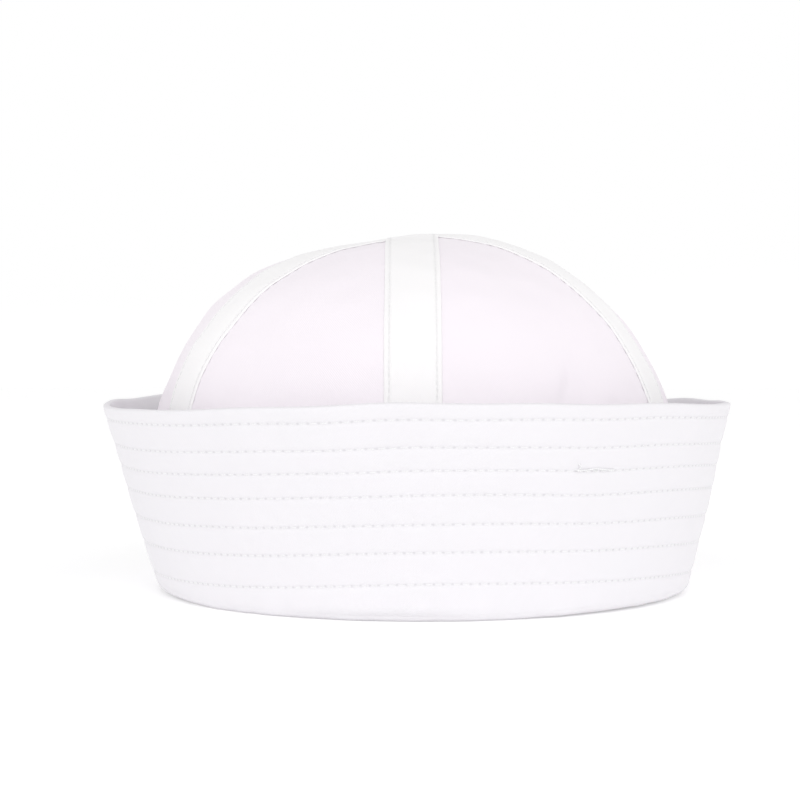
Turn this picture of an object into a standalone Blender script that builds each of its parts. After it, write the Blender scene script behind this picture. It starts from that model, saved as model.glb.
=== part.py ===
"""White cotton sailor cap: a domed crown of six gores with taped seams, and a quilted brim that is turned up all round.

Metres, +Z up. The front of the cap faces -Y, and +X is the right-hand side seen from the front.
The origin lies on the surface that the cap stands on, below the middle of the brim's rim.
Bearings go round the cap in degrees: 0 is the front, 90 is +X and 180 is the back.
"""

import math

import bmesh
import bpy
from mathutils import Vector

# The opening that the head goes into.
HEAD_HALF_WIDTH = 0.0910
HEAD_HALF_LENGTH = 0.0985

# Thickness of each cloth, and the gaps between pieces that are sewn together on the real cap.
CROWN_CLOTH = 0.0012
STRIP_CLOTH = 0.0009
BRIM_CLOTH = 0.0026
TURN_IN_CLOTH = 0.0016
SEAM_GAP = 0.0003
SEAT_CLEARANCE = 0.0005

# The turned-up brim.
BRIM_HEIGHT = 0.0700
BRIM_FLARE = 0.0290
TURN_IN_HEIGHT = 0.0120
FOLD_RADIUS = 0.0042
TURN_IN_RADIUS = 0.0018
FOLD_FLAT_DEPTH = 0.0003
BRIM_COLUMNS = 64
ROUND_STEPS = 4

# Rows of stitching on the brim, measured down its slant from the rim.
FIRST_ROW = 0.0048
ROW_PITCH = 0.0099
ROW_DEPTH = 0.0004

# The rows are sewn a little unevenly: their distances from each other, from the rim down, in shares of ROW_PITCH.
# Rows that a higher brim has below these follow at the full pitch.
ROW_STEPS = (0.97, 0.81, 0.86, 1.05, 1.02, 1.18)

# The crown.
CROWN_HEIGHT = 0.1310
CROWN_WIDEST_HEIGHT = 0.0530
CROWN_SWELL = 0.0027
GORE_FLATNESS = 0.0090
CROWN_EYE_RADIUS = 0.0040
GORE_COLUMNS = 8
WALL_ROWS = 4
DOME_ROWS = 12

# The tapes over the crown's seams.
STRIP_WIDTH = 0.0194
STRIP_COLUMNS = 4

# The cap stands a little askew: how far parts of it lie to the right of the middle of the rim.
FOOT_SHIFT = 0.0022
CROWN_SHIFT = -0.0019

# The six seams of the crown, in order round it.
CROWN_SEAMS = (
    # seam, bearing
    ("front", 0),
    ("front_right", 67),
    ("back_right", 121),
    ("back", 180),
    ("back_left", 240),
    ("front_left", 301),
)

# The brim in eight directions, 45 degrees apart. flare is a share of BRIM_FLARE, and rim and fold are rises in
# shares of BRIM_HEIGHT.
BRIM_DIRECTIONS = (
    # bearing, flare, rim, fold
    (0, 1.00, 0.026, 0.000),
    (45, 0.82, 0.002, 0.014),
    (90, 0.60, -0.020, 0.012),
    (135, 0.82, -0.040, 0.003),
    (180, 1.00, -0.020, 0.000),
    (225, 0.82, -0.014, 0.005),
    (270, 0.60, -0.022, 0.030),
    (315, 0.82, -0.024, 0.003),
)

# Dents and puffs of the crown, each centred at a bearing and a height. All lengths are shares of CROWN_HEIGHT, and
# a negative depth is a dent.
CROWN_FOLDS = (
    # bearing, height, across, up, depth
    (90, 0.950, 0.260, 0.120, 0.0122),
    (92, 0.820, 0.200, 0.160, 0.0080),
    (270, 0.880, 0.200, 0.180, 0.0080),
    (282, 0.985, 0.200, 0.070, -0.0084),
    (38, 0.580, 0.060, 0.090, -0.0080),
    (20, 0.780, 0.130, 0.160, 0.0050),
    (326, 0.700, 0.170, 0.150, -0.0050),
    (205, 0.680, 0.170, 0.140, -0.0090),
    (150, 0.820, 0.130, 0.120, -0.0070),
    (252, 0.640, 0.120, 0.120, 0.0040),
    (270, 0.824, 0.229, 0.137, 0.0130),
    (268, 0.565, 0.229, 0.153, -0.0198),
    (0, 0.999, 0.160, 0.076, -0.0099),
    (85, 0.992, 0.122, 0.084, 0.0076),
)

QUILTED_WHITE = (0.86, 0.86, 0.87, 1.0)
SINGLE_WHITE = (0.80, 0.79, 0.82, 1.0)
TAPE_WHITE = (0.90, 0.90, 0.90, 1.0)

# Distances outwards from the line of the head, through the layers that lie in the brim's fold.
CROWN_FOOT_OUT = TURN_IN_CLOTH + SEAT_CLEARANCE + CROWN_CLOTH
BRIM_FOOT_OUT = CROWN_FOOT_OUT + SEAM_GAP + STRIP_CLOTH + SEAT_CLEARANCE + BRIM_CLOTH

# The dome's half axes.
DOME_HALF_WIDTH = HEAD_HALF_WIDTH + CROWN_FOOT_OUT + CROWN_SWELL
DOME_HALF_LENGTH = HEAD_HALF_LENGTH + CROWN_FOOT_OUT + CROWN_SWELL
DOME_RISE = CROWN_HEIGHT - CROWN_WIDEST_HEIGHT


def clear_scene():
    for thing in list(bpy.data.objects):
        bpy.data.objects.remove(thing)


def cloth_material(name, colour):
    material = bpy.data.materials.new(name)
    material.use_nodes = True
    shader = material.node_tree.nodes["Principled BSDF"]
    shader.inputs["Base Color"].default_value = colour
    shader.inputs["Roughness"].default_value = 0.9
    shader.inputs["Metallic"].default_value = 0.0
    return material


def add_object(name, mesh_maker, material):
    mesh = bpy.data.meshes.new(name)
    mesh_maker.to_mesh(mesh)
    mesh_maker.free()
    mesh.shade_smooth()
    mesh.materials.append(material)
    thing = bpy.data.objects.new(name, mesh)
    bpy.context.scene.collection.objects.link(thing)
    return thing


def cloth_sheet(name, rows, thickness, side, material):
    """A sheet of cloth through rows of points, thickened inwards where side is -1 and outwards where it is 1."""
    mesh_maker = bmesh.new()
    grid = [[mesh_maker.verts.new(point) for point in row] for row in rows]
    for lower, upper in zip(grid, grid[1:]):
        for c in range(1, len(lower)):
            mesh_maker.faces.new((lower[c - 1], lower[c], upper[c], upper[c - 1]))
    mesh_maker.normal_update()
    first = next(iter(mesh_maker.faces))
    inside = Vector((0, 0, first.calc_center_median().z))
    if first.normal.dot(first.calc_center_median() - inside) < 0:
        bmesh.ops.reverse_faces(mesh_maker, faces=mesh_maker.faces)
    sheet = add_object(name, mesh_maker, material)
    solidify = sheet.modifiers.new("cloth", "SOLIDIFY")
    solidify.thickness = thickness
    solidify.offset = side
    solidify.use_even_offset = True


def closed_ring(name, sections, material):
    """A ring through closed sections that follow each other round it."""
    mesh_maker = bmesh.new()
    grid = [[mesh_maker.verts.new(point) for point in section] for section in sections]
    for this, following in zip(grid, grid[1:] + grid[:1]):
        for k in range(len(this)):
            mesh_maker.faces.new((this[k - 1], this[k], following[k], following[k - 1]))
    bmesh.ops.recalc_face_normals(mesh_maker, faces=mesh_maker.faces)
    add_object(name, mesh_maker, material)


def eased(share):
    """Rises from 0 to 1 with no slope at either end."""
    share = min(max(share, 0.0), 1.0)
    return share * share * (3 - 2 * share)


def between_directions(bearing, column):
    """A column of BRIM_DIRECTIONS at any bearing, on a smooth closed curve through its rows."""
    count = len(BRIM_DIRECTIONS)
    place = (bearing % 360) * count / 360
    first = int(place) % count
    share = place - int(place)
    before, low, high, after = (BRIM_DIRECTIONS[(first + k) % count][column] for k in (-1, 0, 1, 2))
    square, cube = share**2, share**3
    return (
        low * (2 * cube - 3 * square + 1)
        + (high - before) / 2 * (cube - 2 * square + share)
        + high * (3 * square - 2 * cube)
        + (after - low) / 2 * (cube - square)
    )


def brim_run(bearing):
    """How far the brim leans out between its fold and its rim."""
    return BRIM_FLARE * between_directions(bearing, 1)


def rim_height(bearing):
    return BRIM_HEIGHT * (1 + between_directions(bearing, 2))


def fold_height(bearing):
    """Height of the underside of the fold. The front and the back lie flat on the surface."""
    return max(0.0, BRIM_HEIGHT * between_directions(bearing, 3) - FOLD_FLAT_DEPTH)


def slant_height(bearing):
    return math.hypot(brim_run(bearing), rim_height(bearing) - fold_height(bearing))


def stitch_rows():
    """How far below the rim each row lies. They fill the slant down to the round of the fold, where it is shortest."""
    room = min(slant_height(row[0]) for row in BRIM_DIRECTIONS) - FOLD_RADIUS
    drops = [FIRST_ROW]
    while True:
        place = len(drops) - 1
        share = ROW_STEPS[place] if place < len(ROW_STEPS) else 1.0
        if drops[-1] + share * ROW_PITCH > room:
            return drops
        drops.append(drops[-1] + share * ROW_PITCH)


def brim_section(bearing):
    """The brim's closed section as (out, height) pairs, up its outer face, over the rim and down to the turn-in."""
    fold = fold_height(bearing)
    rim = rim_height(bearing)
    slant = math.atan2(brim_run(bearing), rim - fold)
    level_cloth = BRIM_CLOTH / math.cos(slant)

    def outer(height):
        return BRIM_FOOT_OUT + (height - fold) * math.tan(slant)

    # A row of stitching pinches the layers, and they are at their full thickness half way to the next row.
    face = []
    for drop in stitch_rows():
        height = rim - drop * math.cos(slant)
        if face:
            face.append(((face[-1][0] + height) / 2, 0.0))
        face.append((height, ROW_DEPTH))

    # The outer round of the fold touches the surface below it and the leaning outer face.
    corner = math.pi / 2 - slant
    middle = BRIM_FOOT_OUT - FOLD_RADIUS * math.tan(corner / 2)
    section = []
    for step in range(ROUND_STEPS + 1):
        turn = corner * step / ROUND_STEPS
        out = middle + FOLD_RADIUS * math.sin(turn)
        section.append((out, fold + FOLD_RADIUS * (1 - math.cos(turn))))
    section += [(outer(height) - pinch, height) for height, pinch in reversed(face)]
    for step in range(ROUND_STEPS + 1):
        turn = math.pi * step / ROUND_STEPS
        out = outer(rim) - level_cloth / 2 * (1 - math.cos(turn))
        section.append((out, rim - BRIM_CLOTH / 2 * (1 - math.sin(turn))))
    section += [(outer(height) - level_cloth + pinch, height) for height, pinch in face]
    floor = fold + BRIM_CLOTH
    section.append((outer(floor) - level_cloth, floor))
    section.append((TURN_IN_CLOTH, floor))
    section.append((TURN_IN_CLOTH, fold + TURN_IN_HEIGHT - TURN_IN_CLOTH / 2))
    section.append((TURN_IN_CLOTH / 2, fold + TURN_IN_HEIGHT))
    section.append((0.0, fold + TURN_IN_HEIGHT - TURN_IN_CLOTH / 2))
    for step in range(ROUND_STEPS // 2 + 1):
        turn = math.pi * step / ROUND_STEPS
        out = TURN_IN_RADIUS * (1 - math.cos(turn))
        section.append((out, fold + TURN_IN_RADIUS * (1 - math.sin(turn))))
    return section


def make_brim(material):
    sections = []
    for column in range(BRIM_COLUMNS):
        bearing = 360 * column / BRIM_COLUMNS
        angle = math.radians(bearing)
        rim = rim_height(bearing)
        points = []
        for out, height in brim_section(bearing):
            across = FOOT_SHIFT * (1 - height / rim) + (HEAD_HALF_WIDTH + out) * math.sin(angle)
            along = -(HEAD_HALF_LENGTH + out) * math.cos(angle)
            points.append((across, along, height))
        sections.append(points)
    closed_ring("brim", sections, material)


def crown_foot_height(bearing):
    """Height of the crown's lower edge, which stands in the brim's fold."""
    return fold_height(bearing) + BRIM_CLOTH + SEAT_CLEARANCE


def gore_share(bearing):
    """How far a bearing lies between the two seams beside it, from 0 to 1."""
    bearings = [seam[1] for seam in CROWN_SEAMS] + [360]
    for start, end in zip(bearings, bearings[1:]):
        if bearing <= end:
            return (bearing - start) / (end - start)
    return 0.0


def crown_levels():
    """Climbs of the rows up the crown. A climb is -1 at the crown's foot and 0 where it is widest. Above that it is
    the angle over the dome in radians, which reaches half a turn over the top and down the other side."""
    wall = [row / WALL_ROWS - 1 for row in range(WALL_ROWS)]
    dome = [math.pi / 2 * row / DOME_ROWS for row in range(DOME_ROWS)]
    eye = math.acos(CROWN_EYE_RADIUS / DOME_HALF_WIDTH)
    return wall + dome + [eye]


def crown_nominal(bearing, climb, lateral, out):
    """A point of the smooth crown, lateral metres to one side of a bearing and out metres outside its outer face."""
    angle = math.radians(bearing)
    ahead = Vector((math.sin(angle), -math.cos(angle), 0))
    aside = Vector((math.cos(angle), math.sin(angle), 0))
    offset = lateral / math.hypot(DOME_HALF_WIDTH * aside.x, DOME_HALF_LENGTH * aside.y)
    rise = max(climb, 0.0)
    arch = ahead * math.cos(rise) + Vector((0, 0, math.sin(rise)))
    unit = arch * math.sqrt(1 - offset**2) + aside * offset

    own_bearing = math.degrees(math.atan2(unit.x, -unit.y)) % 360
    flatness = GORE_FLATNESS * math.sin(math.pi * gore_share(own_bearing)) ** 2
    scale = 1 - flatness * 2 * unit.z * math.sqrt(max(0.0, 1 - unit.z**2))
    share = 1 + min(climb, 0.0)
    grow = out - CROWN_SWELL * (1 - math.sin(math.pi / 2 * share))
    if climb < 0:
        foot = crown_foot_height(own_bearing)
        height = foot + (CROWN_WIDEST_HEIGHT - foot) * share
        shift = FOOT_SHIFT + (CROWN_SHIFT - FOOT_SHIFT) * eased(share)
    else:
        height = CROWN_WIDEST_HEIGHT + scale * (DOME_RISE + out) * unit.z
        shift = CROWN_SHIFT
    return Vector(
        (
            shift + scale * (DOME_HALF_WIDTH + grow) * unit.x,
            scale * (DOME_HALF_LENGTH + grow) * unit.y,
            height,
        )
    )


def crown_fold_places():
    """Each dent or puff as its centre on the crown, its sizes across and up, and its depth, in metres."""
    places = []
    for bearing, height, across, up, depth in CROWN_FOLDS:
        rise = (height * CROWN_HEIGHT - CROWN_WIDEST_HEIGHT) / DOME_RISE
        climb = math.asin(min(max(rise, 0.0), 1.0))
        centre = crown_nominal(bearing, climb, 0.0, 0.0)
        places.append((centre, across * CROWN_HEIGHT, up * CROWN_HEIGHT, depth * CROWN_HEIGHT))
    return places


FOLD_PLACES = crown_fold_places()


def crown_point(bearing, climb, lateral=0.0, out=0.0):
    """A point of the crown with its dents and puffs, which fade out towards its foot."""
    point = crown_nominal(bearing, climb, lateral, out)
    amount = 0.0
    for centre, across, up, depth in FOLD_PLACES:
        gap = point - centre
        amount += depth * math.exp(-(gap.x**2 + gap.y**2) / across**2 - gap.z**2 / up**2)
    outward = (point - Vector((CROWN_SHIFT, 0, CROWN_WIDEST_HEIGHT / 2))).normalized()
    return point + outward * amount * eased(point.z / CROWN_WIDEST_HEIGHT)


def make_gore(name, start, end, material):
    """One gore of the crown, between the seams at two bearings."""
    rows = []
    for climb in crown_levels():
        reach = DOME_HALF_WIDTH * math.cos(max(climb, 0.0))
        inset = math.degrees(SEAM_GAP / 2 / reach)
        step = (end - start - 2 * inset) / GORE_COLUMNS
        rows.append([crown_point(start + inset + step * c, climb) for c in range(GORE_COLUMNS + 1)])
    cloth_sheet(name, rows, CROWN_CLOTH, -1, material)


def make_crown_gores(material):
    bearings = [seam[1] for seam in CROWN_SEAMS] + [360]
    names = ("front_right", "side_right", "back_right", "back_left", "side_left", "front_left")
    for name, start, end in zip(names, bearings, bearings[1:]):
        make_gore(f"crown_gore_{name}", start, end, material)


def strip_offsets():
    """Distances across a tape from its middle line."""
    return [STRIP_WIDTH * (c / STRIP_COLUMNS - 0.5) for c in range(STRIP_COLUMNS + 1)]


def make_long_strip(material):
    """The tape up the front seam, over the top and down the back seam."""
    up = crown_levels()
    rows = []
    for climb in up + [math.pi / 2]:
        rows.append([crown_point(0, climb, offset, SEAM_GAP) for offset in strip_offsets()])
    for climb in reversed(up):
        rows.append([crown_point(180, climb, -offset, SEAM_GAP) for offset in strip_offsets()])
    cloth_sheet("crown_strip_front_back", rows, STRIP_CLOTH, 1, material)


def strip_end_radius(bearing, neighbour, offset):
    """How far from the top a side tape ends, so that it clears the long tape and its neighbour's end."""
    angle = math.radians(bearing)
    side = math.copysign(1, math.sin(angle))
    ahead = Vector((math.sin(angle), -math.cos(angle)))
    aside = Vector((math.cos(angle), math.sin(angle)))
    middle = math.radians((bearing + neighbour) / 2)
    away = Vector((math.cos(middle), math.sin(middle)))
    if away.dot(ahead) < 0:
        away = -away
    past_long_tape = (STRIP_WIDTH / 2 + SEAM_GAP - side * aside.x * offset) / (side * ahead.x)
    past_neighbour = (SEAM_GAP / 2 - away.dot(aside) * offset) / away.dot(ahead)
    return max(past_long_tape, past_neighbour)


def make_side_strip(name, bearing, neighbour, material):
    """A tape up one of the four seams between front and back, which stops short of the long tape."""
    ends = []
    for offset in strip_offsets():
        radius = strip_end_radius(bearing, neighbour, offset)
        ends.append(math.acos(radius / DOME_HALF_WIDTH))
    rows = []
    for climb in crown_levels():
        if climb < min(ends):
            rows.append([crown_point(bearing, climb, offset, SEAM_GAP) for offset in strip_offsets()])
    rows.append([crown_point(bearing, end, offset, SEAM_GAP) for offset, end in zip(strip_offsets(), ends)])
    cloth_sheet(name, rows, STRIP_CLOTH, 1, material)


def make_crown_strips(material):
    bearing_of = dict(CROWN_SEAMS)
    make_long_strip(material)
    for side in ("right", "left"):
        front, back = bearing_of[f"front_{side}"], bearing_of[f"back_{side}"]
        make_side_strip(f"crown_strip_front_{side}", front, back, material)
        make_side_strip(f"crown_strip_back_{side}", back, front, material)


def make_cap():
    clear_scene()
    make_brim(cloth_material("quilted_cotton", QUILTED_WHITE))
    make_crown_gores(cloth_material("single_cotton", SINGLE_WHITE))
    make_crown_strips(cloth_material("cotton_tape", TAPE_WHITE))


make_cap()
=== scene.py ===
"""White cotton sailor cap with a taped crown of six gores and a quilted brim turned up all round.

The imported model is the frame. Everything is in metres, +Z up, and the front of the cap faces -Y.
Bearings go round the cap in degrees: 0 is the front, 90 is +X and 180 is the back.
"""

import math

import bpy
import numpy as np
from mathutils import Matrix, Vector


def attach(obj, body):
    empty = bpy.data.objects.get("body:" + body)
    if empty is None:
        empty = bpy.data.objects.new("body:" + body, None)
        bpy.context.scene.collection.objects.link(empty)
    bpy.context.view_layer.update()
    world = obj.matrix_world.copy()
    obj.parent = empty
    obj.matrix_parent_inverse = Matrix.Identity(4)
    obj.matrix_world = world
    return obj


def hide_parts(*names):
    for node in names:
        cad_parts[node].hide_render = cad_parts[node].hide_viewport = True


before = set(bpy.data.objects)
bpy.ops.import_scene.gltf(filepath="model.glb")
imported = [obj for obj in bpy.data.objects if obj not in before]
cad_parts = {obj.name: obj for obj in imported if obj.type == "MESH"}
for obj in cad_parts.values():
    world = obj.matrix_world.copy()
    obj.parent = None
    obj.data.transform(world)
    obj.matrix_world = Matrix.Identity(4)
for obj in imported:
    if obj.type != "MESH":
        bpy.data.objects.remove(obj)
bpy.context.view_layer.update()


# The crown is six gores of thin white cotton, each a single layer cut to a point. They are sewn
# together edge to edge below the tapes, and their lower edge stands in the fold of the brim. The
# cloth is soft, so it rests in slow swells, with short puckers where the tapes draw it in.

HEAD_HALF_WIDTH = 0.0910
HEAD_HALF_LENGTH = 0.0985
TURN_IN_CLOTH = 0.0016
SEAT_CLEARANCE = 0.0005
GORE_CLOTH = 0.0012
BRIM_CLOTH = 0.0026
CROWN_FOOT_OUT = TURN_IN_CLOTH + SEAT_CLEARANCE + GORE_CLOTH

CROWN_HEIGHT = 0.1310
CROWN_WIDEST_HEIGHT = 0.0530
CROWN_SWELL = 0.0027
GORE_FLATNESS = 0.0090
DOME_HALF_WIDTH = HEAD_HALF_WIDTH + CROWN_FOOT_OUT + CROWN_SWELL
DOME_HALF_LENGTH = HEAD_HALF_LENGTH + CROWN_FOOT_OUT + CROWN_SWELL
DOME_RISE = CROWN_HEIGHT - CROWN_WIDEST_HEIGHT
CROWN_EYE_RADIUS = 0.0040
FOOT_SHIFT = 0.0022
CROWN_SHIFT = -0.0019
SEAM_GAP = 0.0003
TAPE_WIDTH = 0.0194

SEAM_BEARINGS = np.array([0.0, 67.0, 121.0, 180.0, 240.0, 301.0, 360.0])
GORES = ("front_right", "side_right", "back_right", "back_left", "side_left", "front_left")

# How far the brim's fold, which carries the crown, rises at eight bearings, 45 degrees apart.
BRIM_HEIGHT = 0.0700
FOLD_RISES = BRIM_HEIGHT * np.array([0.000, 0.014, 0.012, 0.003, 0.000, 0.005, 0.030, 0.003])
FOLD_FLAT_DEPTH = 0.0003

# Puffs and dents that the crown rests in: bearing, height, size across, size up, height of the puff.
CROWN_FOLDS = (
    (90, 0.1245, 0.0341, 0.0157, 0.00160),
    (92, 0.1074, 0.0262, 0.0210, 0.00105),
    (270, 0.1153, 0.0262, 0.0236, 0.00105),
    (282, 0.1290, 0.0262, 0.0092, -0.00110),
    (38, 0.0760, 0.0079, 0.0118, -0.00105),
    (20, 0.1022, 0.0170, 0.0210, 0.00066),
    (326, 0.0917, 0.0223, 0.0197, -0.00066),
    (205, 0.0891, 0.0223, 0.0183, -0.00118),
    (150, 0.1074, 0.0170, 0.0157, -0.00092),
    (252, 0.0838, 0.0157, 0.0157, 0.00052),
    (270, 0.1080, 0.0300, 0.0180, 0.00170),
    (268, 0.0740, 0.0300, 0.0200, -0.00260),
    (0, 0.1309, 0.0210, 0.0100, -0.00130),
    (85, 0.1300, 0.0160, 0.0110, 0.00100),
)


def eased(share):
    """Goes from 0 to 1 as the share does, slow at both ends."""
    share = np.clip(share, 0.0, 1.0)
    return share * share * (3 - 2 * share)


def round_the_brim(bearing, values):
    """A measure of the brim at any bearing, on a smooth closed curve through its eight values."""
    place = np.mod(bearing, 360.0) / 45.0
    first = np.floor(place).astype(int)
    share = place - first
    before, low, high, after = (values[(first + step) % 8] for step in (-1, 0, 1, 2))
    return (
        low * (2 * share**3 - 3 * share**2 + 1)
        + (high - before) / 2 * (share**3 - 2 * share**2 + share)
        + high * (3 * share**2 - 2 * share**3)
        + (after - low) / 2 * (share**3 - share**2)
    )


def fold_height(bearing):
    """Height of the fold's underside, which is flat on the surface at the front and the back."""
    return np.maximum(0.0, round_the_brim(bearing, FOLD_RISES) - FOLD_FLAT_DEPTH)


def gore_share(bearing):
    """How far a bearing lies between the two seams beside it, from 0 to 1."""
    gore = np.clip(np.searchsorted(SEAM_BEARINGS, bearing, side="left") - 1, 0, 5)
    start, end = SEAM_BEARINGS[gore], SEAM_BEARINGS[gore + 1]
    return (bearing - start) / (end - start)


def soft_swells(points, length, seed):
    """A smooth field of swells about this long, with a spread of 1, that is the same on each run."""
    waves = 30
    chance = np.random.default_rng(seed)
    ways = chance.normal(size=(waves, 3))
    ways *= (2 * np.pi / length * chance.uniform(0.6, 1.3, waves) / np.linalg.norm(ways, axis=1))[:, None]
    starts = chance.uniform(0, 2 * np.pi, waves)
    return np.cos(points @ ways.T + starts).sum(axis=-1) / math.sqrt(waves / 2)


def smooth_crown(bearing, climb, lateral=0.0, out=0.0):
    """The crown before it creases. A climb is -1 at its foot, 0 where it is widest and half pi on top."""
    bearing, climb, lateral, out = np.broadcast_arrays(bearing, climb, lateral, out)
    sine, cosine = np.sin(np.radians(bearing)), np.cos(np.radians(bearing))
    offset = lateral / np.hypot(DOME_HALF_WIDTH * cosine, DOME_HALF_LENGTH * sine)
    along = np.sqrt(1 - offset**2)
    rise = np.maximum(climb, 0.0)
    unit_x = sine * np.cos(rise) * along + cosine * offset
    unit_y = -cosine * np.cos(rise) * along + sine * offset
    unit_z = np.sin(rise) * along
    own_bearing = np.degrees(np.arctan2(unit_x, -unit_y)) % 360
    flatness = GORE_FLATNESS * np.sin(np.pi * gore_share(own_bearing)) ** 2
    scale = 1 - flatness * 2 * unit_z * np.sqrt(np.maximum(0.0, 1 - unit_z**2))
    share = 1 + np.minimum(climb, 0.0)
    grow = out - CROWN_SWELL * (1 - np.sin(np.pi / 2 * share))
    foot = fold_height(own_bearing) + BRIM_CLOTH + SEAT_CLEARANCE
    height = np.where(
        climb < 0,
        foot + (CROWN_WIDEST_HEIGHT - foot) * share,
        CROWN_WIDEST_HEIGHT + scale * (DOME_RISE + out) * unit_z,
    )
    shift = FOOT_SHIFT + (CROWN_SHIFT - FOOT_SHIFT) * np.where(climb < 0, eased(share), 1.0)
    across = shift + scale * (DOME_HALF_WIDTH + grow) * unit_x
    return np.stack((across, scale * (DOME_HALF_LENGTH + grow) * unit_y, height), axis=-1)


def crown_outward(points):
    """Directions straight away from the middle of the crown."""
    outward = points - np.array([CROWN_SHIFT, 0.0, CROWN_WIDEST_HEIGHT / 2])
    return outward / np.linalg.norm(outward, axis=-1, keepdims=True)


def crown_surface(bearing, climb, lateral=0.0, out=0.0):
    """The crown as it rests, with its puffs, dents and slow swells."""
    points = smooth_crown(bearing, climb, lateral, out)
    amount = 0.00030 * soft_swells(points, 0.045, seed=11) + 0.00010 * soft_swells(points, 0.016, seed=12)
    for fold_bearing, height, across, up, puff in CROWN_FOLDS:
        fold_climb = math.asin(min(max((height - CROWN_WIDEST_HEIGHT) / DOME_RISE, 0.0), 1.0))
        gap = points - smooth_crown(fold_bearing, fold_climb)
        amount = amount + puff * np.exp(
            -(gap[..., 0] ** 2 + gap[..., 1] ** 2) / across**2 - gap[..., 2] ** 2 / up**2
        )
    amount = amount * eased(points[..., 2] / CROWN_WIDEST_HEIGHT)
    return points + crown_outward(points) * amount[..., None]


def add_grid(name, points, flat, material, round_rows=False, round_columns=False, ends=False):
    """Cloth through a grid of points. flat is each point's place on the cloth before it was sewn, and
    may hold two numbers more, its place among the cloth's rows of stitching."""
    rows, columns = points.shape[:2]
    low_row = np.arange(rows if round_rows else rows - 1)[:, None]
    low_column = np.arange(columns if round_columns else columns - 1)[None, :]
    corners = [
        (low_row + row_step + 0 * low_column, low_column + column_step + 0 * low_row)
        for row_step, column_step in ((0, 0), (0, 1), (1, 1), (1, 0))
    ]
    faces = np.stack([(r % rows) * columns + c % columns for r, c in corners], axis=-1).reshape(-1, 4)
    places = np.stack([flat[r, c] for r, c in corners], axis=2).reshape(-1, flat.shape[-1])
    faces = faces.tolist()
    if ends:
        first, last = list(range(columns)), list(range((rows - 1) * columns, rows * columns))
        faces += [first, last[::-1]]
        places = np.concatenate((places, flat[0, :columns], flat[-1, :columns][::-1]))
    mesh = bpy.data.meshes.new(name)
    mesh.from_pydata(points.reshape(-1, 3).tolist(), [], faces)
    for layer, first in zip(("cloth", "rows"), range(0, flat.shape[-1], 2)):
        values = places[:, first:first + 2].astype(np.float32)
        mesh.uv_layers.new(name=layer).data.foreach_set("uv", values.ravel())
    mesh.shade_smooth()
    mesh.materials.append(material)
    piece = bpy.data.objects.new(name, mesh)
    bpy.context.scene.collection.objects.link(piece)
    return piece


def socket_group(name, inputs, outputs):
    """An empty shader group with its named sockets, and its input and output nodes."""
    group = bpy.data.node_groups.new(name, "ShaderNodeTree")
    for label, kind, value in inputs:
        socket = group.interface.new_socket(label, in_out="INPUT", socket_type=kind)
        if value is not None:
            socket.default_value = value
    for label, kind in outputs:
        group.interface.new_socket(label, in_out="OUTPUT", socket_type=kind)
    return group, group.nodes.new("NodeGroupInput"), group.nodes.new("NodeGroupOutput")


def math_node(tree, operation, first, second=None, third=None):
    """A math node fed with sockets or plain numbers, and its result."""
    node = tree.nodes.new("ShaderNodeMath")
    node.operation = operation
    for socket, value in zip(node.inputs, (first, second, third)):
        if isinstance(value, (int, float)):
            socket.default_value = value
        elif value is not None:
            tree.links.new(value, socket)
    return node.outputs[0]


def mix_colours(tree, amount, first, second):
    """Goes from one colour to the other as the amount goes from 0 to 1."""
    node = tree.nodes.new("ShaderNodeMix")
    node.data_type = "RGBA"
    for socket, value in ((node.inputs[0], amount), (node.inputs[6], first), (node.inputs[7], second)):
        if isinstance(value, bpy.types.NodeSocket):
            tree.links.new(value, socket)
        else:
            socket.default_value = value
    return node.outputs[2]


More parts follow.
